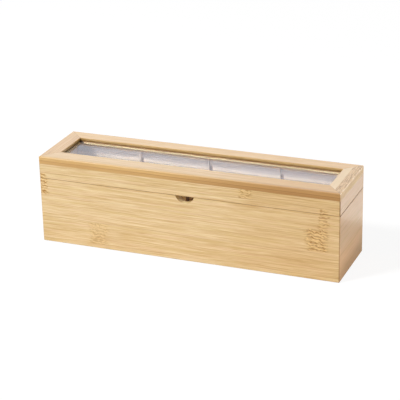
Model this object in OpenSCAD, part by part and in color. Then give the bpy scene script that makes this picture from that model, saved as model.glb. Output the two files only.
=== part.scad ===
// Long tea bag box with four compartments and a hinged lid that frames a clear window.
// Millimetres, +Z up, +X along the box, the front faces -Y.
// The origin is at the bottom centre of the whole outline, hinge barrels included.

/* [Box] */
// Outside length of the box
body_w = 330; // [260:1:420]
// Outside depth of the box, front face to back face
body_d = 83; // [76:1:120]
// Outside height with the lid shut
body_h = 96; // [80:1:140]
// Thickness of the wall boards
wall_t = 8.5; // [8:0.5:12]
// Height of the lid, its frame included
lid_h = 24; // [22:0.5:40]
// Gap of the seam between the box and the lid
seam_gap = 0.3; // [0.2:0.05:0.6]
// Rounding of the outer edges at the foot of the box
foot_r = 0.8; // [0.3:0.1:1.5]
// Rounding of the upright corners
corner_r = 1.0; // [0.4:0.1:2]
// Easing of the edges along the seam
seam_r = 0.3; // [0.1:0.1:0.6]

/* [Window frame] */
// Thickness of the frame boards
frame_t = 8; // [7.5:0.5:12]
// Width of the frame's back rail
back_rail_w = 17; // [14:0.5:24]
// Width of the frame's front rail
front_rail_w = 19.5; // [14:0.5:26]
// Width of the frame's two stiles
stile_w = 17; // [14:0.5:26]
// Rounding of the frame's outer top edge
frame_r = 1.2; // [0.4:0.1:2.5]
// Rounding of the window's top edge
window_r = 0.5; // [0.2:0.1:1]

/* [Window pane] */
// Thickness of the pane
pane_t = 2; // [1.5:0.1:2.5]
// Depth of the pane's upper face below the frame's top
pane_drop = 4; // [3:0.1:4.5]
// How far the pane's groove goes into the frame
pane_bite = 5; // [3:0.5:7]
// Room for the pane at each edge and above it
pane_fit = 0.2; // [0.1:0.05:0.4]

/* [Bottom panel] */
// Thickness of the bottom panel
panel_t = 4; // [3:0.5:6]
// Height of the panel's underside above the table
panel_up = 6; // [4:0.5:12]
// Depth of the panel's groove in the walls
panel_bite = 4; // [2.5:0.5:5]
// Room for the panel at each edge and above it
panel_fit = 0.1; // [0.05:0.05:0.3]

/* [Dividers] */
// Thickness of a divider
divider_t = 4; // [3:0.5:6]
// Depth of the upright grooves that hold the dividers
divider_bite = 3; // [2:0.5:4]
// Height of the rim above the dividers
divider_drop = 1.5; // [0.5:0.5:12]
// Room beside and behind a divider in its groove
divider_fit = 0.05; // [0.02:0.01:0.15]
// Rounding of a divider's top edges
divider_r = 0.8; // [0.3:0.1:1.2]

/* [Finger notch] */
// Width of the notch at the rim
notch_w = 20.5; // [16:0.5:40]
// Depth of the notch below the rim
notch_deep = 7.5; // [5:0.5:8]

/* [Hinges] */
// Distance of a hinge's middle from the end of the box
hinge_inset = 60; // [30:1:65]
// Length of a hinge
hinge_l = 30; // [26:1:38]
// Thickness of a leaf
leaf_t = 1.2; // [0.8:0.1:1.6]
// How far a leaf reaches over the wall
leaf_reach = 7; // [6.5:0.1:7.4]
// Room at a leaf's sides in its pocket
leaf_fit = 0.05; // [0.02:0.01:0.2]
// Outer radius of the barrel
barrel_r = 2; // [1.8:0.1:2.6]
// Distance between the barrel and the back of the box
barrel_gap = 0.3; // [0.2:0.05:0.6]
// Gap between two knuckles of the barrel
knuckle_gap = 0.2; // [0.1:0.05:0.4]
// Gap between the two shut leaves
leaf_gap = 0.2; // [0.1:0.05:0.4]
// Radius of the hinge pin
pin_r = 1; // [0.7:0.05:1.2]
// Radial room for the pin in the lid's knuckle
pin_fit = 0.05; // [0.02:0.01:0.1]
// Radial room for the pin in the box's knuckles
pin_seat = 0.01; // [0.01:0.01:0.03]
// Radius of the pin's heads
pin_head_r = 1.5; // [1.3:0.1:1.7]
// Length of a pin head
pin_head_l = 0.6; // [0.3:0.1:1]
// Bevel of a pin head
pin_head_ease = 0.2; // [0.1:0.05:0.3]
// Angle at which the open lid stops
stop_angle = 100; // [92:1:115]
// Gap left at the stop
stop_gap = 0.03; // [0.01:0.01:0.1]

/* [Hinge screws] */
// Radius of the screw shank
screw_r = 0.9; // [0.7:0.05:1.1]
// Length of a screw from its flat head to its point
screw_l = 9; // [7:0.5:12]
// Length of the screw's point
screw_tip_l = 2; // [1:0.5:3]
// Radius of the screw's countersunk head
screw_head_r = 1.9; // [1.6:0.1:2.2]
// Distance between the two screws of a leaf
screw_pitch = 20; // [14:0.5:20]
// Room round a screw
screw_fit = 0.03; // [0.02:0.01:0.1]
// Width of the cross in the screw's head
cross_w = 0.45; // [0.3:0.05:0.6]
// Length of the cross in the screw's head
cross_l = 2.2; // [1.6:0.1:2.6]
// Depth of the cross in the screw's head
cross_deep = 0.5; // [0.3:0.05:0.7]

/* [Hidden] */

WALL_COLOUR = [0.86, 0.71, 0.50];
FRAME_COLOUR = [0.89, 0.76, 0.58];
PANEL_COLOUR = [0.83, 0.68, 0.46];
BRASS_COLOUR = [0.78, 0.62, 0.30];
PANE_COLOUR = [0.80, 0.84, 0.88, 0.35];

compartments = 4;
arc_steps = 4;
round_fn = 64;
notch_fn = 96;
cut = 1;   // how far a cutter runs past the face that it cuts

// Places along Y
barrel_out = barrel_gap + 2 * barrel_r;
front_y = -(body_d + barrel_out) / 2;
back_y = front_y + body_d;
middle_y = (front_y + back_y) / 2;
front_in_y = front_y + wall_t;
back_in_y = back_y - wall_t;

// Heights
seam_z = body_h - lid_h;
rim_z = seam_z - seam_gap / 2;
lid_z = seam_z + seam_gap / 2;
frame_z = body_h - frame_t;
pane_z = body_h - pane_drop - pane_t;
panel_top_z = panel_up + panel_t;
divider_top_z = rim_z - divider_drop;

// Room inside the walls
inner_w = body_w - 2 * wall_t;
inner_d = body_d - 2 * wall_t;

// Dividers stand evenly along the box
divider_pitch = (inner_w + divider_t) / compartments;

// The notch is part of a circle
notch_r = (notch_w * notch_w / 4 + notch_deep * notch_deep) / (2 * notch_deep);

// Hinges
hinge_x = body_w / 2 - hinge_inset;
axis_y = back_y + barrel_gap + barrel_r;
knuckle_l = (hinge_l - 2 * knuckle_gap) / 3;
leaf_front_y = back_y - leaf_reach;
screw_y = back_y - leaf_reach / 2;
screw_head_l = screw_head_r - screw_r;

// The lid's knuckle has a square heel, whose flat side meets the box's leaf when the lid is open
heel_t = barrel_r + barrel_gap - stop_gap;
heel_l = (barrel_r + heel_t * cos(stop_angle)) / sin(stop_angle);

function arc(x, y, r, from, to) =
    [for (i = [0:arc_steps]) let (a = from + (to - from) * i / arc_steps)
        [x + r * cos(a), y + r * sin(a)]];

// Rectangle from [x0, y0] to [x1, y1] whose four corners are rounded, from the lower left one round
function eased(x0, y0, x1, y1, r) = concat(
    arc(x0 + r[0], y0 + r[0], r[0], 180, 270),
    arc(x1 - r[1], y0 + r[1], r[1], 270, 360),
    arc(x1 - r[2], y1 - r[2], r[2], 0, 90),
    arc(x0 + r[3], y1 - r[3], r[3], 90, 180));

// Outline of a mitred board seen from above: outer face along Y = 0, inner corners at the given offsets
function mitred(length, left_in, right_in, depth) = concat(
    arc(length / 2 - corner_r, corner_r, corner_r, 270, 315),
    [[length / 2 - right_in, depth], [left_in - length / 2, depth]],
    arc(corner_r - length / 2, corner_r, corner_r, 225, 270));

// A board along X with its outer face at Y = 0, and its ends mitred
// r holds the roundings of its outer foot, inner foot, inner top and outer top edges
module board(length, depth, z0, z1, r, left_in, right_in) {
    intersection() {
        rotate([90, 0, 90])
            linear_extrude(length, center = true)
                polygon(eased(0, z0, depth, z1, r));
        translate([0, 0, z0 - cut])
            linear_extrude(z1 - z0 + 2 * cut)
                polygon(mitred(length, left_in, right_in, depth));
    }
}

// A groove along the inside of a board
module long_groove(length, depth, bite, z0, height) {
    translate([-length / 2, depth - bite, z0])
        cube([length, bite + cut, height]);
}

// The four sides: each takes a board made along X to its place
module at_front() { translate([0, front_y, 0]) children(); }
module at_back() { translate([0, back_y, 0]) rotate([0, 0, 180]) children(); }
module at_left() { translate([-body_w / 2, middle_y, 0]) rotate([0, 0, -90]) children(); }
module at_right() { translate([body_w / 2, middle_y, 0]) rotate([0, 0, 90]) children(); }

// Upright grooves for the dividers in a front or back board
module divider_grooves(z0, z1) {
    groove_w = divider_t + 2 * divider_fit;
    for (i = [1:compartments - 1])
        translate([(i - compartments / 2) * divider_pitch - groove_w / 2, wall_t - divider_bite, z0])
            cube([groove_w, divider_bite + cut, z1 - z0]);
}

// The finger notch: a round cutter through the rim of the front board, down to the given depth
module finger_notch(deep) {
    translate([0, -cut, rim_z - notch_deep + notch_r])
        rotate([-90, 0, 0])
            cylinder(r = notch_r, h = deep + cut, $fn = notch_fn);
}

module box_board(length) {
    difference() {
        board(length, wall_t, 0, rim_z, [foot_r, seam_r, seam_r, seam_r], wall_t, wall_t);
        long_groove(length, wall_t, panel_bite, panel_up, panel_t + panel_fit);
    }
}

module lid_board(length) {
    board(length, wall_t, lid_z, frame_z, [seam_r, seam_r, 0, 0], wall_t, wall_t);
}

module frame_board(length, depth, left_in, right_in) {
    difference() {
        board(length, depth, frame_z, body_h, [0, window_r, window_r, frame_r], left_in, right_in);
        long_groove(length, depth, pane_bite, pane_z, pane_t + pane_fit);
    }
}

// Puts one hinge's piece, or a cut for it, at both hinges
module at_hinges() {
    for (side = [-1, 1]) translate([side * hinge_x, 0, 0]) children();
}

// Pocket for a leaf between two heights, cut in from the back face
module leaf_pocket(z0, z1) {
    at_hinges()
        translate([-hinge_l / 2 - leaf_fit, leaf_front_y - leaf_fit, z0])
            cube([hinge_l + 2 * leaf_fit, leaf_reach + leaf_fit + cut, z1 - z0]);
}

// Screw with its flat head at Z = 0 and its point down, grown by fit
module screw_body(fit) {
    r = screw_r + fit;
    head_r = screw_head_r + fit;
    rotate_extrude($fn = round_fn)
        polygon([[0, 0], [head_r, 0], [r, -screw_head_l], [r, -screw_l + screw_tip_l],
            [0, -screw_l - fit]]);
}

module screw() {
    difference() {
        screw_body(0);
        for (turn = [0, 90])
            rotate([0, 0, turn])
                translate([-cross_l / 2, -cross_w / 2, -cross_deep])
                    cube([cross_l, cross_w, cross_deep + cut]);
    }
}

// Both screws of each leaf, heads up under the shut lid's seam
module at_box_screws() {
    at_hinges()
        for (side = [-1, 1])
            translate([side * screw_pitch / 2, screw_y, seam_z - leaf_gap / 2])
                children();
}

// The same, turned over into the lid
module at_lid_screws() {
    at_hinges()
        for (side = [-1, 1])
            translate([side * screw_pitch / 2, screw_y, seam_z + leaf_gap / 2])
                rotate([180, 0, 0])
                    children();
}

// Flat part of a leaf over the wall
module leaf_plate(z0) {
    translate([-hinge_l / 2, leaf_front_y, z0])
        cube([hinge_l, leaf_reach, leaf_t]);
}

// Section of a knuckle round the hinge's axis, with the end of the leaf that carries it
module knuckle_section(leaf_z0, bore_r, has_heel) {
    difference() {
        union() {
            circle(r = barrel_r, $fn = round_fn);
            translate([leaf_front_y - axis_y, leaf_z0 - seam_z])
                square([axis_y - leaf_front_y, leaf_t]);
            // Upright against the box's leaf when open, so turned back here to shut
            if (has_heel)
                rotate(stop_angle)
                    translate([-heel_t, -heel_l])
                        square([heel_t, heel_l]);
        }
        circle(r = bore_r, $fn = round_fn);
    }
}

module knuckle(x0, leaf_z0, bore_r, has_heel) {
    translate([x0, axis_y, seam_z])
        rotate([90, 0, 90])
            linear_extrude(knuckle_l)
                knuckle_section(leaf_z0, bore_r, has_heel);
}

// Leaf screwed to the box: two outer knuckles, in which the pin is fixed
module box_leaf() {
    z0 = seam_z - leaf_gap / 2 - leaf_t;
    leaf_plate(z0);
    for (x0 = [-hinge_l / 2, hinge_l / 2 - knuckle_l])
        knuckle(x0, z0, pin_r + pin_seat, false);
}

// Leaf screwed to the lid: the middle knuckle, which turns on the pin
module lid_leaf() {
    z0 = seam_z + leaf_gap / 2;
    leaf_plate(z0);
    knuckle(-knuckle_l / 2, z0, pin_r + pin_fit, true);
}

module hinge_pin() {
    translate([0, axis_y, seam_z])
        rotate([0, 90, 0]) {
            cylinder(r = pin_r, h = hinge_l, center = true, $fn = round_fn);
            for (end = [0, 180])
                rotate([end, 0, 0])
                    translate([0, 0, hinge_l / 2])
                        cylinder(r1 = pin_head_r, r2 = pin_head_r - pin_head_ease,
                            h = pin_head_l, $fn = round_fn);
        }
}

// Box
module front_wall() {
    color(WALL_COLOUR)
        at_front()
            difference() {
                box_board(body_w);
                divider_grooves(panel_top_z, rim_z + cut);
                finger_notch(wall_t + cut);
            }
}

module back_wall() {
    color(WALL_COLOUR)
        difference() {
            at_back()
                difference() {
                    box_board(body_w);
                    divider_grooves(panel_top_z, rim_z + cut);
                }
            leaf_pocket(seam_z - leaf_gap / 2 - leaf_t, rim_z + cut);
            at_box_screws() screw_body(screw_fit);
        }
}

module left_wall() {
    color(WALL_COLOUR) at_left() box_board(body_d);
}

module right_wall() {
    color(WALL_COLOUR) at_right() box_board(body_d);
}

module bottom_panel() {
    grow = 2 * (panel_bite - panel_fit);
    color(PANEL_COLOUR)
        translate([0, middle_y, panel_up])
            linear_extrude(panel_t)
                square([inner_w + grow, inner_d + grow], center = true);
}

// A divider counted from the left, from 1
module divider(i) {
    length = inner_d + 2 * (divider_bite - divider_fit);
    translate([(i - compartments / 2) * divider_pitch, middle_y, 0])
        rotate([90, 0, 0])
            linear_extrude(length, center = true)
                polygon(eased(-divider_t / 2, panel_top_z, divider_t / 2, divider_top_z,
                    [0, 0, divider_r, divider_r]));
}

module left_divider() {
    color(PANEL_COLOUR) divider(1);
}

// Its front end is trimmed flush with the finger notch
module middle_divider() {
    color(PANEL_COLOUR)
        difference() {
            divider(2);
            at_front() finger_notch(wall_t);
        }
}

module right_divider() {
    color(PANEL_COLOUR) divider(3);
}

module left_hinge_box_leaf() {
    color(BRASS_COLOUR)
        difference() {
            translate([-hinge_x, 0, 0]) box_leaf();
            at_box_screws() screw_body(screw_fit);
        }
}

module right_hinge_box_leaf() {
    color(BRASS_COLOUR)
        difference() {
            translate([hinge_x, 0, 0]) box_leaf();
            at_box_screws() screw_body(screw_fit);
        }
}

module left_hinge_pin() {
    color(BRASS_COLOUR) translate([-hinge_x, 0, 0]) hinge_pin();
}

module right_hinge_pin() {
    color(BRASS_COLOUR) translate([hinge_x, 0, 0]) hinge_pin();
}

module box_leaf_screws() {
    color(BRASS_COLOUR) at_box_screws() screw();
}

// Lid
module lid_front_wall() {
    color(WALL_COLOUR)
        at_front()
            difference() {
                lid_board(body_w);
                divider_grooves(lid_z - cut, frame_z + cut);
            }
}

module lid_back_wall() {
    color(WALL_COLOUR)
        difference() {
            at_back()
                difference() {
                    lid_board(body_w);
                    divider_grooves(lid_z - cut, frame_z + cut);
                }
            leaf_pocket(lid_z - cut, seam_z + leaf_gap / 2 + leaf_t);
            at_lid_screws() screw_body(screw_fit);
        }
}

module lid_left_wall() {
    color(WALL_COLOUR) at_left() lid_board(body_d);
}

module lid_right_wall() {
    color(WALL_COLOUR) at_right() lid_board(body_d);
}

module frame_front_rail() {
    color(FRAME_COLOUR) at_front() frame_board(body_w, front_rail_w, stile_w, stile_w);
}

module frame_back_rail() {
    color(FRAME_COLOUR) at_back() frame_board(body_w, back_rail_w, stile_w, stile_w);
}

module frame_left_stile() {
    color(FRAME_COLOUR) at_left() frame_board(body_d, stile_w, back_rail_w, front_rail_w);
}

module frame_right_stile() {
    color(FRAME_COLOUR) at_right() frame_board(body_d, stile_w, front_rail_w, back_rail_w);
}

module window_pane() {
    grow = pane_bite - pane_fit;
    x = body_w / 2 - stile_w + grow;
    y0 = front_y + front_rail_w - grow;
    y1 = back_y - back_rail_w + grow;
    color(PANE_COLOUR)
        translate([-x, y0, pane_z])
            cube([2 * x, y1 - y0, pane_t]);
}

module left_hinge_lid_leaf() {
    color(BRASS_COLOUR)
        difference() {
            translate([-hinge_x, 0, 0]) lid_leaf();
            at_lid_screws() screw_body(screw_fit);
        }
}

module right_hinge_lid_leaf() {
    color(BRASS_COLOUR)
        difference() {
            translate([hinge_x, 0, 0]) lid_leaf();
            at_lid_screws() screw_body(screw_fit);
        }
}

module lid_leaf_screws() {
    color(BRASS_COLOUR) at_lid_screws() screw();
}

front_wall();
back_wall();
left_wall();
right_wall();
bottom_panel();
left_divider();
middle_divider();
right_divider();
left_hinge_box_leaf();
right_hinge_box_leaf();
left_hinge_pin();
right_hinge_pin();
box_leaf_screws();
lid_front_wall();
lid_back_wall();
lid_left_wall();
lid_right_wall();
frame_front_rail();
frame_back_rail();
frame_left_stile();
frame_right_stile();
window_pane();
left_hinge_lid_leaf();
right_hinge_lid_leaf();
lid_leaf_screws();
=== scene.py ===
import math

import bpy
from mathutils import Matrix, Vector


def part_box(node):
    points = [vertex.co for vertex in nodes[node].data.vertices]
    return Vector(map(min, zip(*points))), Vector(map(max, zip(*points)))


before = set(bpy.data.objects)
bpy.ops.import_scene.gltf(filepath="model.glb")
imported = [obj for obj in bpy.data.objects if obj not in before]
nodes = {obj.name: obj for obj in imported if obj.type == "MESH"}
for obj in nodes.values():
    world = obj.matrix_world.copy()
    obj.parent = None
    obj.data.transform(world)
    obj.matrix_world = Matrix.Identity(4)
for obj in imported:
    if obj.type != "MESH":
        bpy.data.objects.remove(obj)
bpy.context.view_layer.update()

# Looks of a long bamboo box for tea bags. Every piece that shows is the frame's own solid. The script adds
# the materials, a floor, the world, four lamps and the camera.

scene = bpy.context.scene

MM = 0.001            # a millimetre in metres
WHITE = (1.0, 1.0, 1.0)

# outline of the boards in the row frame, mm
HALF_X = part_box("right_wall")[1][0] / MM
FRONT_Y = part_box("front_wall")[0][1] / MM
BACK_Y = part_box("back_wall")[1][1] / MM
TOP_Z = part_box("frame_front_rail")[1][2] / MM
SIDE_W = HALF_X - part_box("frame_right_stile")[0][0] / MM
FRONT_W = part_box("frame_front_rail")[1][1] / MM - FRONT_Y
BACK_W = BACK_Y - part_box("frame_back_rail")[0][1] / MM

# the room inside the walls, mm; INNER_X and INNER_Y are half its length and half its depth
INNER_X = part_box("right_wall")[0][0] / MM
MIDDLE_Y = (FRONT_Y + BACK_Y) / 2
INNER_Y = MIDDLE_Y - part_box("front_wall")[1][1] / MM
INNER_BACK_Y = MIDDLE_Y + INNER_Y

# heights of the bottom panel's top, the cut between box and lid and the clear pane's top, mm
PANEL_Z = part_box("bottom_panel")[1][2] / MM
SEAM_Z = (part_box("front_wall")[1][2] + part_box("lid_front_wall")[0][2]) / 2 / MM
PANE_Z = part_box("window_pane")[1][2] / MM


# ---------------------------------------------------------------- camera
CAM_AZIMUTH = 22.093      # degrees to the right of straight in front
CAM_ELEVATION = 22.365
CAM_ROLL = -1.321
CAM_PLACE = Vector((0.557749, -1.375836, 0.661961))
SENSOR = 36.0             # width of the sensor and length of the lens, mm
LENS = 137.80
NEAREST = 0.05            # the camera sees what lies between these distances, metres
FARTHEST = 30.0


def add_camera():
    """The camera, as solved from the box's corners in the photograph."""
    az, el, roll = (math.radians(a) for a in (CAM_AZIMUTH, CAM_ELEVATION, CAM_ROLL))
    forward = Vector((-math.sin(az) * math.cos(el), math.cos(az) * math.cos(el), -math.sin(el)))
    right = forward.cross(Vector((0, 0, 1))).normalized()
    up = right.cross(forward)
    turned_right = right * math.cos(roll) + up * math.sin(roll)
    turned_up = up * math.cos(roll) - right * math.sin(roll)
    rot = Matrix((turned_right, turned_up, -forward)).transposed()
    data = bpy.data.cameras.new("camera")
    data.sensor_fit = "HORIZONTAL"
    data.sensor_width = SENSOR
    data.lens = LENS
    data.clip_start = NEAREST
    data.clip_end = FARTHEST
    cam = bpy.data.objects.new("camera", data)
    scene.collection.objects.link(cam)
    cam.matrix_world = Matrix.Translation(CAM_PLACE) @ rot.to_4x4()
    scene.camera = cam


add_camera()


# ---------------------------------------------------------------- node helpers
COLOUR_SOCKETS = ("Light", "Body", "Dark", "Color")


class Tree:
    """Builds the nodes of a material or group. put fills a socket, add gives back a node, group its
    outputs, and the others one output. A value is a number, a colour or another node's output."""

    def __init__(self, tree):
        self.tree = tree

    def add(self, kind, **settings):
        n = self.tree.nodes.new(kind)
        for k, v in settings.items():
            setattr(n, k, v)
        return n

    def put(self, socket, value):
        if isinstance(value, bpy.types.NodeSocket):
            self.tree.links.new(value, socket)
        elif value is not None:
            socket.default_value = value

    def math(self, op, *values, clamp=False):
        n = self.add("ShaderNodeMath", operation=op, use_clamp=clamp)
        for i, value in enumerate(values):
            self.put(n.inputs[i], value)
        return n.outputs[0]

    def product(self, first, *others):
        for value in others:
            first = self.math("MULTIPLY", first, value)
        return first

    def absolute(self, value):
        return self.math("ABSOLUTE", value)

    def remainder(self, share):
        """What a share leaves of 1."""
        return self.math("SUBTRACT", 1.0, share)

    def swing(self, value, width):
        """A value between 0 and 1, spread over a width about 0."""
        return self.math("MULTIPLY_ADD", value, width, -width / 2)

    def span(self, value, low, high, to_low=0.0, to_high=1.0, smooth=True):
        """A value's place between low and high, as a number from to_low to to_high."""
        n = self.add("ShaderNodeMapRange", clamp=True)
        n.interpolation_type = "SMOOTHSTEP" if smooth else "LINEAR"
        self.put(n.inputs["Value"], value)
        self.put(n.inputs["From Min"], low)
        self.put(n.inputs["From Max"], high)
        self.put(n.inputs["To Min"], to_low)
        self.put(n.inputs["To Max"], to_high)
        return n.outputs[0]

    def below(self, value, low, high):
        """1 where a value is under low, 0 where it is over high."""
        return self.span(value, low, high, 1.0, 0.0)

    def mix(self, share, a, b, blend="MIX"):
        n = self.add("ShaderNodeMix", data_type="RGBA", blend_type=blend)
        self.put(n.inputs[0], share)
        self.put(n.inputs[6], a)
        self.put(n.inputs[7], b)
        return n.outputs[2]

    def xyz(self, *parts):
        """A point whose three parts are values, or pairs of a value and its factor."""
        n = self.add("ShaderNodeCombineXYZ")
        for i, part in enumerate(parts):
            self.put(n.inputs[i], self.math("MULTIPLY", *part) if isinstance(part, tuple) else part)
        return n.outputs[0]

    def noise(self, vector, scale=1.0, detail=3.0, rough=0.55, distortion=0.0):
        n = self.add("ShaderNodeTexNoise", noise_dimensions="3D")
        self.put(n.inputs["Vector"], vector)
        self.put(n.inputs["Scale"], scale)
        self.put(n.inputs["Detail"], detail)
        self.put(n.inputs["Roughness"], rough)
        self.put(n.inputs["Distortion"], distortion)
        return n.outputs[0]

    def chance(self, value):
        """A number between 0 and 1 that looks random, but is always the same for the same value."""
        n = self.add("ShaderNodeTexWhiteNoise", noise_dimensions="1D")
        self.put(n.inputs["W"], value)
        return n.outputs[0]

    def group(self, tree, **inputs):
        n = self.add("ShaderNodeGroup")
        n.node_tree = tree
        for k, v in inputs.items():
            self.put(n.inputs[k], v)
        return n.outputs


def new_group(name, inputs, outputs):
    tree = bpy.data.node_groups.new(name, "ShaderNodeTree")
    for kind, names in (("INPUT", inputs), ("OUTPUT", outputs)):
        for n in names:
            socket_type = "NodeSocketColor" if n in COLOUR_SOCKETS else "NodeSocketFloat"
            tree.interface.new_socket(n, in_out=kind, socket_type=socket_type)
    t = Tree(tree)
    return t, t.add("NodeGroupInput").outputs, t.add("NodeGroupOutput").inputs


def linear(r, g, b):
    """A colour given as 0 to 255 screen values, as the linear colour that Blender takes."""
    out = []
    for c in (r, g, b):
        c /= 255.0
        out.append(c / 12.92 if c <= 0.04045 else ((c + 0.055) / 1.055) ** 2.4)
    return (*out, 1.0)


# ---------------------------------------------------------------- bamboo
STRIP = 24.5          # width of the glued bamboo strips, mm
STRIP_FROM = 4.5      # height of a glue line on the walls, mm

GLUE_TONE = linear(164, 116, 66)
PINKISH = linear(240, 200, 158)
YELLOWISH = linear(224, 190, 118)
MARK_DARK = linear(174, 116, 10)
MARK_LIGHT = linear(255, 221, 156)
MARK_SHADE = (0.91, 0.85, 0.72, 1.0)


def make_mark_group():
    """Share of a bamboo node's mark at a point: 1 in its middle, 0 outside its half sizes."""
    t, i, o = new_group("node_mark", ("Along", "Across", "At", "Up", "Half", "Tall"), ("Mask",))
    wobble = t.noise(t.xyz((i["Along"], 0.06), (i["Across"], 0.22), i["At"]), detail=3.0)
    off_along = t.math("ADD", t.math("SUBTRACT", i["Along"], i["At"]), t.swing(wobble, 14.0))
    off_across = t.math("SUBTRACT", i["Across"], i["Up"])
    along = t.below(t.math("DIVIDE", t.absolute(off_along), i["Half"]), 0.55, 1.15)
    across = t.below(t.math("DIVIDE", t.absolute(off_across), i["Tall"]), 0.92, 1.02)
    t.put(o["Mask"], t.product(along, across))
    return t.tree


def make_bamboo_group():
    """Flat-laid bamboo board: strips side by side, fibres along them and squiggles at the nodes."""
    t, i, o = new_group(
        "bamboo",
        ("Along", "Across", "Through", "Seed", "From", "Strip", "Mark", "Light", "Body", "Dark"),
        ("Color", "Roughness", "Height"))
    u, v, w = i["Along"], i["Across"], i["Through"]
    in_strips = t.math("DIVIDE", t.math("SUBTRACT", v, i["From"]), i["Strip"])
    index = t.math("ADD", t.math("FLOOR", in_strips), i["Seed"])

    # each strip has its own stretch of fibres, which bend a little and swirl at a mark
    slide = t.product(t.chance(t.math("ADD", index, 41.3)), 300.0)
    slid = t.math("ADD", u, slide)
    bend = t.swing(t.noise(t.xyz((slid, 0.014), (v, 0.06), i["Seed"]), detail=2.0), 2.0)
    swirl = t.product(i["Mark"], t.swing(t.noise(t.xyz((u, 0.16), (v, 0.12), 3.0), detail=2.0), 10.0))
    bent = t.math("ADD", t.math("ADD", v, bend), swirl)

    def fibres(along, across, seed, rough=0.5):
        """Noise drawn out along the strips; along and across say how fine it is, per mm."""
        through = t.math("MULTIPLY_ADD", w, across * 0.6, seed)
        return t.noise(t.xyz((slid, along), (bent, across), through), detail=2.0, rough=rough)

    broad = fibres(0.010, 0.16, 3.1)
    streak = fibres(0.011, 0.62, 11.7)
    short = fibres(0.022, 1.15, 19.4)
    fine = fibres(0.06, 2.2, 27.9, rough=0.6)
    hue = fibres(0.020, 0.36, 37.2)

    # squiggles: wavy lines along the fibres that close to loops, each dark one beside a light one
    sway = t.noise(t.xyz((u, 0.12), (v, 0.19), (w, 0.1)), detail=2.0, rough=0.5, distortion=0.8)
    slope = t.math("MULTIPLY_ADD", u, 0.22, t.product(sway, 18.0))
    wave = t.math("SINE", t.math("MULTIPLY_ADD", v, 1.7, slope))
    uneven = t.noise(t.xyz((u, 0.25), (v, 0.4), 8.0), detail=1.0)
    strong = t.product(t.span(uneven, 0.30, 0.55, 0.25, 1.0), i["Mark"])
    dark_line = t.product(t.span(wave, 0.15, 0.85), strong)
    light_line = t.product(t.span(wave, -0.15, -0.85), strong)

    # glue line between two strips
    part = t.math("FRACT", in_strips)
    from_glue = t.product(t.math("MINIMUM", part, t.remainder(part)), i["Strip"])
    strength = t.span(t.noise(t.xyz((u, 0.013), index, 5.0), detail=2.0), 0.42, 0.68, 0.05, 0.6)
    glue = t.product(t.below(from_glue, 0.12, 0.42), strength)

    # shade, below 0 dark and above 0 light: the strip's own tone and four sizes of fibres
    shade = t.swing(t.chance(index), 0.24)
    for layer, low, high, weight in ((broad, 0.33, 0.67, 0.24), (streak, 0.36, 0.64, 0.40),
                                     (short, 0.36, 0.64, 1.04), (fine, 0.30, 0.70, 1.10)):
        shade = t.math("ADD", shade, t.swing(t.span(layer, low, high, smooth=False), weight))
    lighter = t.mix(t.math("MAXIMUM", shade, 0.0, clamp=True), i["Body"], i["Light"])
    colour = t.mix(t.math("MULTIPLY", shade, -1.0, clamp=True), lighter, i["Dark"])
    colour = t.mix(t.span(hue, 0.52, 0.68, 0.0, 0.28), colour, PINKISH)
    colour = t.mix(t.span(hue, 0.34, 0.48, 0.32, 0.0), colour, YELLOWISH)
    colour = t.mix(i["Mark"], colour, MARK_SHADE, blend="MULTIPLY")
    colour = t.mix(t.product(light_line, 0.72), colour, MARK_LIGHT)
    colour = t.mix(t.product(dark_line, 0.85), colour, MARK_DARK)
    t.put(o["Color"], t.mix(glue, colour, GLUE_TONE))

    rough = t.math("MULTIPLY_ADD", fine, 0.14, 0.26)
    t.put(o["Roughness"], t.math("ADD", rough, t.product(dark_line, 0.12)))
    height = t.math("ADD", t.product(fine, 0.5), t.product(short, 0.3))
    height = t.math("SUBTRACT", height, t.product(glue, 0.5))
    t.put(o["Height"], t.math("SUBTRACT", height, t.product(dark_line, 0.5)))
    return t.tree


mark_group = make_mark_group()
bamboo_group = make_bamboo_group()


# ---------------------------------------------------------------- parts of a material
def start_material(name):
    mat = bpy.data.materials.new(name)
    mat.use_nodes = True
    t = Tree(mat.node_tree)
    t.tree.nodes.clear()
    return mat, t


def split(t, output):
    """The three parts of an output of Texture Coordinate."""
    n = t.add("ShaderNodeSeparateXYZ")
    t.put(n.inputs[0], t.add("ShaderNodeTexCoord").outputs[output])
    return {axis: n.outputs[axis] for axis in "XYZ"}


def millimetres(t):
    """The three coordinates of the row frame in millimetres."""
    return {axis: t.product(value, 1 / MM) for axis, value in split(t, "Object").items()}


def surface(t, colour, rough, height, bump=0.12, depth=0.0004, coat=None, **constants):
    """A Principled surface with bump; constants are set on the shader's own sockets."""
    shader = t.add("ShaderNodeBsdfPrincipled")
    t.put(shader.inputs["Base Color"], colour)
    t.put(shader.inputs["Roughness"], rough)
    t.put(shader.inputs["Coat Weight"], coat)
    for k, v in constants.items():
        shader.inputs[k.replace("_", " ")].default_value = v
    n = t.add("ShaderNodeBump")
    n.inputs["Strength"].default_value = bump
    n.inputs["Distance"].default_value = depth
    t.put(n.inputs["Height"], height)
    t.put(shader.inputs["Normal"], n.outputs[0])
    t.put(t.add("ShaderNodeOutputMaterial").inputs["Surface"], shader.outputs[0])


def line_at(t, value, place, half, share):
    """A soft line of a given share where a value passes a place."""
    off = t.absolute(t.math("SUBTRACT", value, place))
    return t.span(off, half * 0.6, half * 1.3, share, 0.0)


def times(t, share, colour, factor):
    """A colour multiplied by a factor, to a given share."""
    return t.mix(share, colour, (*factor, 1.0), blend="MULTIPLY")


def flat_share(t):
    """1 on flat faces and 0 on rounded edges, where the lacquer is sanded thin and the walls have painted
    shade.
    """
    parts = [t.absolute(value) for value in split(t, "Normal").values()]
    largest = t.math("MAXIMUM", parts[0], t.math("MAXIMUM", parts[1], parts[2]))
    return t.span(largest, 0.94, 0.995)


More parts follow.
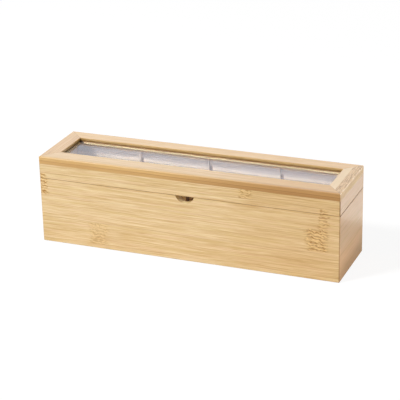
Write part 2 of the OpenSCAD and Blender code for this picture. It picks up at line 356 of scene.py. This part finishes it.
# ---------------------------------------------------------------- details of the boards
INSIDE_SHADE_FROM = 48.0             # under this height the box's inside has its full painted shade, mm
GLUE_Z = 91.6                # height of the glue line between the two layers of a frame board, mm
WALL_MITRE = 0.7             # mm from a wall's mitre line for each mm along the wall, about
FRAME_MITRE = 12.0           # width of a frame board, measured square to its mitre line, mm, about
RIGHT_SHADE_SPAN = (0.0, 125.0)         # between these places along the box the painted shade grows towards the right end, where the sheen from the left fades, mm
EDGE_RIGHT_SHADE_SPAN = (-70.0, 120.0)
ARRIS_RIGHT_SHADE_SPAN = (20.0, 120.0)

EDGE_UP = linear(226, 184, 118)
EDGE_DOWN = linear(213, 169, 105)
EDGE_LINE = linear(186, 138, 78)
INNER_SHADE_TOP = linear(208, 167, 102)
INNER_SHADE_LOW = linear(132, 96, 42)
LIP_LIGHT = linear(255, 232, 170)


def inside_painted_shade(t, at, colour, factor):
    """The bare inside of the box has painted shade, browner towards its bottom. Gives the colour, and 1
    inside the box.
    """
    from_middle = t.absolute(t.math("SUBTRACT", at["Y"], MIDDLE_Y))
    within = t.product(t.below(t.absolute(at["X"]), INNER_X - 0.1, INNER_X + 0.2),
                       t.below(from_middle, INNER_Y - 0.1, INNER_Y + 0.2),
                       t.span(at["Z"], PANEL_Z - 0.6, PANEL_Z - 0.2))
    low = t.below(at["Z"], INSIDE_SHADE_FROM, SEAM_Z - 1.0)
    return times(t, t.product(within, low), colour, factor), within


def corner_run(t, at, side_w, front_w, back_w):
    """How far a point is from the mitre line of its corner, in shares of the boards' widths."""
    from_end = t.math("DIVIDE", t.math("SUBTRACT", HALF_X, t.absolute(at["X"])), side_w)
    from_front = t.math("DIVIDE", t.math("SUBTRACT", at["Y"], FRONT_Y), front_w)
    from_back = t.math("DIVIDE", t.math("SUBTRACT", BACK_Y, at["Y"]), back_w)
    return t.math("SUBTRACT", from_end, t.math("MINIMUM", from_front, from_back))


def wall_details(t, at, colour, seam, corner):
    """Painted shade along the cut between box and lid and on the rounded edges, and darker lines in the
    mitred corners, fainter on the box than on the lid. Gives the colour, and 0 at the cut."""
    # painted shade along the cut between box and lid
    colour = times(t, line_at(t, at["Z"], SEAM_Z, 0.6, seam), colour, (0.30, 0.25, 0.20))
    run = t.product(corner_run(t, at, 1.0, 1.0, 1.0), WALL_MITRE)
    on_lid = t.span(at["Z"], SEAM_Z - 0.1, SEAM_Z + 0.1, 0.25, 1.0)
    line = t.product(line_at(t, run, 0.0, 0.55, corner), on_lid)
    away = t.remainder(line_at(t, at["Z"], SEAM_Z, 1.0, 1.0))
    # painted shade on the rounded edges
    colour = times(t, t.remainder(flat_share(t)), colour, (0.80, 0.74, 0.66))
    return times(t, line, colour, (0.45, 0.38, 0.30)), away


def frame_details(t, at, colour, along):
    """The upright edges of a frame board: two layers, darker than its face, with painted shade by the top
    arris and towards the right end;
    round the window painted shade, darkest by the pane, with painted light on a pale lip under it. Gives the
    colour, and 1 on level faces."""
    normal = split(t, "Normal")
    level = t.absolute(normal["Z"])
    upright = t.below(level, 0.75, 0.97)
    at_end = t.product(t.span(t.absolute(at["X"]), HALF_X - 1.6, HALF_X - 1.0),
                       t.span(t.absolute(normal["X"]), 0.5, 0.85))

    # the front edge
    streak = t.noise(t.xyz((at[along], 0.02), (at["Z"], 1.1), 7.0), detail=3.0)
    edge = t.mix(t.span(at["Z"], GLUE_Z - 0.1, GLUE_Z + 0.1), EDGE_DOWN, EDGE_UP)
    edge = t.mix(t.span(streak, 0.35, 0.7, 0.0, 0.4), edge, EDGE_LINE)
    edge = t.mix(line_at(t, at["Z"], GLUE_Z, 0.35, 0.75), edge, EDGE_LINE)
    # painted shade towards the right end
    edge = times(t, t.span(at["X"], *EDGE_RIGHT_SHADE_SPAN), edge, (0.72, 0.62, 0.52))
    # painted shade at the top of the front edge, by the rounded arris
    edge = times(t, t.span(at["Z"], TOP_Z - 2.4, TOP_Z - 0.8), edge, (0.92, 0.90, 0.82))

    # the edges round the window and at the back: painted shade, darkest by the pane, and painted light on
    # the lip under it
    inner = t.mix(t.span(at["Z"], PANE_Z, PANE_Z + 3.4), INNER_SHADE_LOW, INNER_SHADE_TOP)
    inner = t.mix(t.span(at["Z"], PANE_Z - 2.2, PANE_Z - 1.6), LIP_LIGHT, inner)
    edge = t.mix(t.span(t.math("SUBTRACT", at["Y"], FRONT_Y), 2.0, 3.0), edge, inner)
    colour = t.mix(t.product(upright, t.remainder(at_end)), colour, edge)

    # the face by the front arris, with painted shade that deepens towards the right end, and the mitre lines
    arris_shade = t.product(t.below(at["Y"], FRONT_Y + 1.0, FRONT_Y + 7.0),
                         t.remainder(t.math("MAXIMUM", upright, at_end)))
    colour = times(t, arris_shade, colour, (0.96, 0.90, 0.68))
    to_right = t.product(arris_shade, t.span(at["X"], *ARRIS_RIGHT_SHADE_SPAN))
    colour = times(t, to_right, colour, (0.86, 0.80, 0.74))
    run = t.product(corner_run(t, at, SIDE_W, FRONT_W, BACK_W), FRAME_MITRE)
    colour = times(t, line_at(t, run, 0.0, 0.25, 0.45), colour, (0.62, 0.52, 0.42))
    return colour, t.span(level, 0.85, 0.98)


# ---------------------------------------------------------------- details of single boards
# Each function gives the colour, and how much lacquer is on the board.
RIGHT_STRIP = 8.5            # width of the right stile's outer strip, mm
NOTCH_HALF = 10.25           # half width of the finger notch at the rim, and its lowest height, mm
NOTCH_LOW = 64.5
GROOVES_WITHIN = 100.0       # the dividers' grooves lie nearer the middle, the mitred ends farther out, mm
SHADOW_LOW = 75.4             # heights of the painted shadow of the frame's back rail on the lid's back wall, mm
SHADOW_TOP = 81.9
GROOVE_SHADE_TOP = 75.8            # the back's grooves have painted shade up to this height, mm
END_UPPER = (40.0, 66.0)     # over these heights the right wall's painted shade at its top, in its lower half and at its foot fades, mm
END_LOWER = (24.0, 40.0)
END_FOOT = (6.0, 24.0)

STRIP_PALE = linear(255, 224, 178)
STRIP_VEIN = linear(168, 112, 48)
NOTCH_LIGHT = linear(255, 230, 172)
PAINTED_LIGHT_LOW = linear(255, 226, 172)
PAINTED_LIGHT_HIGH = linear(252, 230, 198)
GROOVE_SHADE = linear(140, 106, 72)
DIVIDER_TOP_SHADE = linear(176, 132, 84)
GRAIN_AND_SHADE_LIGHT = linear(104, 68, 36)
GRAIN_AND_SHADE_DARK = linear(74, 44, 20)


def right_stile_layers(t, at, colour):
    """The right stile is glued from a pale inner strip and a streaky brown outer one."""
    outer = t.span(at["X"], HALF_X - RIGHT_STRIP - 0.2, HALF_X - RIGHT_STRIP + 0.2)
    depth = t.math("ADD", at["X"], t.product(at["Z"], 0.8))
    vein = t.noise(t.xyz((depth, 0.75), (at["Y"], 0.09), 9.0), detail=4.0, rough=0.65, distortion=0.4)
    deeper = times(t, 1.0, colour, (0.99, 0.95, 0.87))
    brown = t.mix(t.span(vein, 0.44, 0.60, 0.08, 0.78), deeper, STRIP_VEIN)
    pale = t.mix(0.7, colour, STRIP_PALE)
    on_top = t.span(split(t, "Normal")["Z"], 0.5, 0.9)
    return t.mix(t.product(outer, on_top), t.mix(on_top, colour, pale), brown), 1.0


def notched_front(t, at, colour):
    """The finger notch's cut surface has painted light, paler than the board's face, and the lid's front is
    a little deeper.
    """
    colour = times(t, t.span(at["Z"], SEAM_Z + 0.5, SEAM_Z + 8.0), colour, (0.97, 0.97, 0.95))
    # painted light on the notch's cut surface
    cut = t.product(t.below(t.absolute(at["X"]), NOTCH_HALF + 0.35, NOTCH_HALF + 0.95),
                    t.span(at["Z"], NOTCH_LOW - 0.9, NOTCH_LOW - 0.5),
                    t.below(at["Z"], SEAM_Z - 0.5, SEAM_Z - 0.2),
                    t.below(t.absolute(split(t, "Normal")["Y"]), 0.5, 0.8))
    return t.mix(cut, colour, NOTCH_LIGHT), t.remainder(cut)


def painted_light_and_shade_inside(t, at, colour):
    """The back's inner face has painted light, paler towards its top, with a strip of painted shadow under
    the frame and painted shade in the grooves."""
    normal = split(t, "Normal")
    facing = t.below(normal["Y"], -0.8, -0.6)
    groove_side = t.product(t.span(t.absolute(normal["X"]), 0.6, 0.8),
                            t.math("LESS_THAN", t.absolute(at["X"]), GROOVES_WITHIN))
    painted_lit = t.product(t.math("MAXIMUM", facing, groove_side), t.span(at["Z"], SEAM_Z - 14.0, SEAM_Z - 4.0))
    # painted light on the back's inner face and on the grooves' sides
    pale = t.mix(t.span(at["Z"], SEAM_Z - 2.0, SEAM_Z + 3.0), PAINTED_LIGHT_LOW, PAINTED_LIGHT_HIGH)
    colour = t.mix(painted_lit, colour, pale)
    # painted shadow of the frame's back rail
    strip = t.product(facing, t.span(at["Z"], SHADOW_LOW - 1.0, SHADOW_LOW + 1.0),
                      t.below(at["Z"], SHADOW_TOP - 0.5, SHADOW_TOP + 0.5))
    colour = times(t, strip, colour, (0.72, 0.71, 0.76))
    # painted shade in the grooves
    shaded_groove = t.product(facing, t.span(at["Y"], INNER_BACK_Y + 0.8, INNER_BACK_Y + 1.2),
                       t.below(at["Z"], GROOVE_SHADE_TOP - 1.0, GROOVE_SHADE_TOP + 1.0))
    return t.mix(shaded_groove, colour, GROOVE_SHADE), 1.0


def painted_end_shade(t, at, colour):
    """Painted shade on the right wall: a little darker at its top, warmer in its lower half and deepest at
    its foot.
    """
    colour = times(t, t.span(at["Z"], *END_UPPER), colour, (0.97, 0.955, 0.95))
    colour = times(t, t.below(at["Z"], *END_LOWER), colour, (1.04, 0.97, 0.87))
    return times(t, t.below(at["Z"], *END_FOOT), colour, (0.72, 0.68, 0.59)), 1.0


def end_grain_and_shade(t, at, colour):
    """A divider's ends show brown end grain, darkened further as painted shade, and its top edge has painted
    shade, browner than its sides.
    """
    normal = split(t, "Normal")
    colour = t.mix(t.span(normal["Z"], 0.6, 0.8, 0.0, 0.75), colour, DIVIDER_TOP_SHADE)
    end = t.span(t.absolute(normal["Y"]), 0.6, 0.8)
    pores = t.noise(t.xyz(at["X"], at["Y"], at["Z"]), scale=1.6, detail=2.0)
    return t.mix(end, colour, t.mix(t.span(pores, 0.4, 0.6), GRAIN_AND_SHADE_LIGHT, GRAIN_AND_SHADE_DARK)), 1.0


# ---------------------------------------------------------------- the bamboo material
# tones of a board: light, body and dark
WALL_TONES = (linear(248, 221, 172), linear(231, 197, 141), linear(208, 164, 97))
END_TONES = (linear(255, 213, 165), linear(253, 207, 157), linear(246, 199, 148))
FRAME_TONES = (linear(253, 219, 170), linear(243, 204, 148), linear(220, 175, 118))
BACK_TONES = (linear(255, 218, 162), linear(250, 204, 140), linear(228, 176, 112))
STILE_TONES = (linear(247, 206, 152), linear(236, 190, 130), linear(213, 162, 103))
PANEL_TONES = (linear(232, 198, 148), linear(219, 182, 130), linear(192, 152, 102))


def bamboo(name, along, across, seed, tones=WALL_TONES, marks=(), begin=STRIP_FROM, strip=STRIP,
           frame_board=False, seam=0.0, corner=0.0, right_painted_shade=None, extra=None, inside=None,
           coat_rough=0.20, shine=0.5):
    """Bamboo with its fibres along one axis and its strips side by side along another.
    marks are node marks (along, across, half length, half width in mm, strength); seam is the strength
    of the painted shade along a wall's cut, and corner that of the dark lines in its mitred corners;
    right_painted_shade is the tone's factor at the right end, as painted shade; extra is a function that
    adds the details of one board; inside is the factor of the painted shade in the box's bare inside."""
    mat, t = start_material(name)
    at = millimetres(t)
    through = next(a for a in "XYZ" if a not in (along, across))
    mask = 0.0
    for (mark_along, mark_across, half, tall, strength) in marks:
        one = t.group(mark_group, Along=at[along], Across=at[across], At=mark_along, Up=mark_across,
                      Half=half, Tall=tall)
        mask = t.math("MAXIMUM", t.product(one["Mask"], strength), mask)
    light, body, dark = tones
    out = t.group(bamboo_group, Along=at[along], Across=at[across], Through=at[through], Seed=seed,
                  From=begin, Strip=strip, Mark=mask, Light=light, Body=body, Dark=dark)
    colour = out["Color"]
    rough = out["Roughness"]
    coat = 1.0
    if extra is not None:
        colour, coat = extra(t, at, colour)
    if inside is not None:
        # painted shade inside the box, where the lacquer is also left off
        colour, within = inside_painted_shade(t, at, colour, inside)
        coat = t.product(coat, t.remainder(within))
        rough = t.math("MAXIMUM", rough, t.product(within, 0.7))
    # painted shade towards the right end, where the sheen from the left fades
    if right_painted_shade is not None:
        colour = times(t, t.span(at["X"], *RIGHT_SHADE_SPAN), colour, right_painted_shade)
    if frame_board:
        colour, coat = frame_details(t, at, colour, along)
    if seam > 0.0:
        colour, away = wall_details(t, at, colour, seam, corner)
        coat = t.product(away, flat_share(t), coat)
    surface(t, colour, rough, out["Height"], coat=coat, Coat_Roughness=coat_rough, Coat_IOR=1.5,
            Specular_IOR_Level=shine)
    return mat


# ---------------------------------------------------------------- pane and brass
PANE_TINT = linear(230, 235, 246)
PANE_BLOOM = linear(222, 227, 248)
PANE_SHADE = (0.97, 0.97, 0.97, 1.0)


def pane_material():
    """Clear plate with a faint pale bloom on it, which lets the lamps' light through."""
    mat, t = start_material("clear_pane")
    glass = t.add("ShaderNodeBsdfPrincipled")
    for k, v in {"Base Color": PANE_TINT, "Roughness": 0.0, "IOR": 1.45, "Transmission Weight": 1.0}.items():
        glass.inputs[k].default_value = v
    bloom = t.add("ShaderNodeBsdfDiffuse")
    bloom.inputs["Color"].default_value = PANE_BLOOM
    clear = t.add("ShaderNodeBsdfTransparent")
    clear.inputs["Color"].default_value = PANE_SHADE

    at = millimetres(t)
    smear = t.noise(t.xyz((at["X"], 0.02), (at["Y"], 0.05), 0.0), detail=3.0)
    film = t.add("ShaderNodeMixShader")
    t.put(film.inputs[0], t.span(smear, 0.3, 0.7, 0.05, 0.09))
    t.put(film.inputs[1], glass.outputs[0])
    t.put(film.inputs[2], bloom.outputs[0])
    both = t.add("ShaderNodeMixShader")
    t.put(both.inputs[0], t.add("ShaderNodeLightPath").outputs["Is Shadow Ray"])
    t.put(both.inputs[1], film.outputs[0])
    t.put(both.inputs[2], clear.outputs[0])
    t.put(t.add("ShaderNodeOutputMaterial").inputs["Surface"], both.outputs[0])
    return mat


def brass_material(name, base, worn, roughness):
    """Brushed brass with cloudy worn patches."""
    mat, t = start_material(name)
    at = millimetres(t)
    cloud = t.noise(t.xyz((at["X"], 0.25), (at["Y"], 0.25), (at["Z"], 0.25)), detail=4.0)
    brushed = t.noise(t.xyz((at["X"], 0.3), (at["Y"], 9.0), (at["Z"], 9.0)), detail=3.0)
    colour = t.mix(t.span(cloud, 0.35, 0.7), base, worn)
    rough = t.math("ADD", t.math("MULTIPLY_ADD", cloud, 0.16, roughness - 0.08), t.swing(brushed, 0.12))
    surface(t, colour, rough, brushed, bump=0.08, depth=0.0001, Metallic=1.0)
    return mat


# ---------------------------------------------------------------- looks of the nodes
MARK_TALL = 12.2             # half height of a mark that fills its strip, mm
FRONT_MARKS = ((66, 84.5, 8, 6.5, 0.7), (-160, 65.7, 5, MARK_TALL, 1.0), (148, 66, 6, MARK_TALL, 0.68),
               (141, 43, 12, MARK_TALL, 1.0), (-99, 16.5, 12, MARK_TALL, 0.5))
BACK_MARKS = ((-52, 41.2, 12, MARK_TALL, 0.9), (96, 65.7, 9, MARK_TALL, 0.7),
              (-128, 16.5, 12, MARK_TALL, 0.8), (20, 16.5, 10, MARK_TALL, 0.6), (-20, 86, 9, 9, 0.7))
LEFT_MARKS = ((12, 41.2, 11, MARK_TALL, 0.8), (-22, 86, 8, 9, 0.6))
PANEL_MARKS = ((-90, -18, 12, 12, 0.7), (60, 6.5, 12, 12, 0.8))

INSIDE_SHADE = (0.86, 0.78, 0.68)            # factors of the painted shade in the bare inside, and in the back wall's
INSIDE_SHADE_BACK = (0.34, 0.23, 0.13)
END_LOOK = {"seam": 1.0, "corner": 0.9, "inside": INSIDE_SHADE, "coat_rough": 0.12, "shine": 0.15}


def dress(mat, *names):
    """Gives a material to nodes, in their objects' slots."""
    for name in names:
        ob = nodes[name]
        if not ob.material_slots:
            ob.data.materials.append(mat)
        for s in ob.material_slots:
            s.link = "OBJECT"
            s.material = mat


dress(bamboo("bamboo_front", "X", "Z", 1.0, marks=FRONT_MARKS, seam=0.15, corner=0.9,
             right_painted_shade=(0.94, 0.885, 0.79), extra=notched_front, inside=INSIDE_SHADE),
      "front_wall", "lid_front_wall")
dress(bamboo("bamboo_back", "X", "Z", 31.0, marks=BACK_MARKS, seam=0.15, corner=0.5,
             extra=painted_light_and_shade_inside, inside=INSIDE_SHADE_BACK),
      "back_wall", "lid_back_wall")
dress(bamboo("bamboo_left", "Y", "Z", 57.0, marks=LEFT_MARKS, **END_LOOK),
      "left_wall", "lid_left_wall")
dress(bamboo("bamboo_right", "Y", "Z", 83.0, END_TONES, extra=painted_end_shade, **END_LOOK),
      "right_wall", "lid_right_wall")
dress(bamboo("bamboo_front_rail", "X", "Y", 7.0, FRAME_TONES, begin=FRONT_Y - 4.0,
             frame_board=True, right_painted_shade=(0.90, 0.78, 0.57)),
      "frame_front_rail")
dress(bamboo("bamboo_back_rail", "X", "Y", 19.0, BACK_TONES, begin=BACK_Y - 30.0, strip=36.0,
             frame_board=True, right_painted_shade=(0.96, 0.93, 0.91)),
      "frame_back_rail")
dress(bamboo("bamboo_left_stile", "Y", "X", 23.0, STILE_TONES, begin=-190.0, strip=60.0,
             frame_board=True),
      "frame_left_stile")
dress(bamboo("bamboo_right_stile", "Y", "X", 29.0, FRAME_TONES, begin=-20.0, strip=200.0,
             frame_board=True, extra=right_stile_layers),
      "frame_right_stile")
dress(bamboo("bamboo_panel", "X", "Y", 101.0, PANEL_TONES, begin=-43.0, marks=PANEL_MARKS, inside=INSIDE_SHADE),
      "bottom_panel")
dress(bamboo("bamboo_divider", "Y", "Z", 131.0, PANEL_TONES, extra=end_grain_and_shade, inside=INSIDE_SHADE),
      "left_divider", "middle_divider", "right_divider")
dress(pane_material(), "window_pane")
dress(brass_material("brass", linear(200, 172, 118), linear(180, 150, 96), 0.46),
      "left_hinge_box_leaf", "right_hinge_box_leaf", "left_hinge_lid_leaf", "right_hinge_lid_leaf")
dress(brass_material("brass_pin", linear(214, 187, 130), linear(192, 160, 102), 0.26),
      "left_hinge_pin", "right_hinge_pin", "box_leaf_screws", "lid_leaf_screws")


# ---------------------------------------------------------------- floor, world and lamps
FLOOR_RADIUS = 6.0           # metres
FLOOR_DROP = 0.0002          # how far the floor lies under the box, metres
LAMP_AIM = Vector((0, 0, 0.05))


def mirror_share(t, path):
    """1 for rays off a mirroring face or through the clear pane, before any diffuse bounce, and else 0."""
    return t.product(t.math("MAXIMUM", path["Is Glossy Ray"], path["Is Transmission Ray"]),
                     t.math("LESS_THAN", path["Diffuse Depth"], 0.5))


def add_floor():
    """A white floor. The camera sees most of its white as a glow, so that the box's shadow is faint."""
    bpy.ops.mesh.primitive_circle_add(vertices=96, radius=FLOOR_RADIUS, fill_type="NGON",
                                      location=(0, 0, -FLOOR_DROP))
    floor = bpy.context.object
    floor.name = "floor"
    mat, t = start_material("floor")
    path = t.add("ShaderNodeLightPath").outputs
    mirrored = mirror_share(t, path)

    def by_ray(seen, in_mirror, elsewhere):
        """One number for the camera's rays, one for mirrored rays and one for all others."""
        direct = t.math("MULTIPLY_ADD", path["Is Camera Ray"], seen - elsewhere, elsewhere)
        return t.math("MULTIPLY_ADD", mirrored, in_mirror - elsewhere, direct)

    plain = t.add("ShaderNodeBsdfDiffuse")
    t.put(plain.inputs["Color"], by_ray(seen=0.16, in_mirror=1.0, elsewhere=0.72))
    glow = t.add("ShaderNodeEmission")
    glow.inputs["Color"].default_value = (*WHITE, 1.0)
    t.put(glow.inputs["Strength"], by_ray(seen=0.89, in_mirror=0.0, elsewhere=0.0))
    both = t.add("ShaderNodeAddShader")
    t.put(both.inputs[0], plain.outputs[0])
    t.put(both.inputs[1], glow.outputs[0])
    t.put(t.add("ShaderNodeOutputMaterial").inputs["Surface"], both.outputs[0])
    floor.data.materials.append(mat)


def add_world(strength):
    """White all round: full for the camera and for mirrored rays, and of a given strength as light."""
    world = bpy.data.worlds.new("world")
    scene.world = world
    world.use_nodes = True
    t = Tree(world.node_tree)
    t.tree.nodes.clear()
    path = t.add("ShaderNodeLightPath").outputs
    seen = t.math("MAXIMUM", path["Is Camera Ray"], mirror_share(t, path))
    sky = t.add("ShaderNodeBackground")
    sky.inputs["Color"].default_value = (*WHITE, 1.0)
    t.put(sky.inputs["Strength"], t.span(seen, 0.0, 1.0, strength, 1.0, smooth=False))
    t.put(t.add("ShaderNodeOutputWorld").inputs["Surface"], sky.outputs[0])


def add_lamp(name, azimuth, elevation, distance, width, height, level):
    """A soft panel lamp seen from the object at an azimuth (0 in front, 90 to the right).
    level is how bright it alone makes a white surface that faces it."""
    az, el = math.radians(azimuth), math.radians(elevation)
    toward = Vector((math.sin(az) * math.cos(el), -math.cos(az) * math.cos(el), math.sin(el)))
    data = bpy.data.lights.new(name, "AREA")
    data.shape = "RECTANGLE"
    data.size = width
    data.size_y = height
    data.energy = level * (math.pi * distance) ** 2
    lamp = bpy.data.objects.new(name, data)
    scene.collection.objects.link(lamp)
    lamp.location = LAMP_AIM + toward * distance
    lamp.rotation_euler = toward.to_track_quat("Z", "Y").to_euler()


add_floor()
add_world(strength=0.19)
add_lamp("key", azimuth=-42, elevation=45, distance=3.4, width=0.6, height=0.6, level=0.82)
add_lamp("front", azimuth=8, elevation=3, distance=3.0, width=1.6, height=0.3, level=0.10)
add_lamp("right", azimuth=95, elevation=6, distance=3.0, width=1.4, height=1.0, level=0.27)
add_lamp("back", azimuth=155, elevation=8, distance=3.0, width=1.4, height=0.8, level=0.29)

scene.view_settings.view_transform = "Standard"
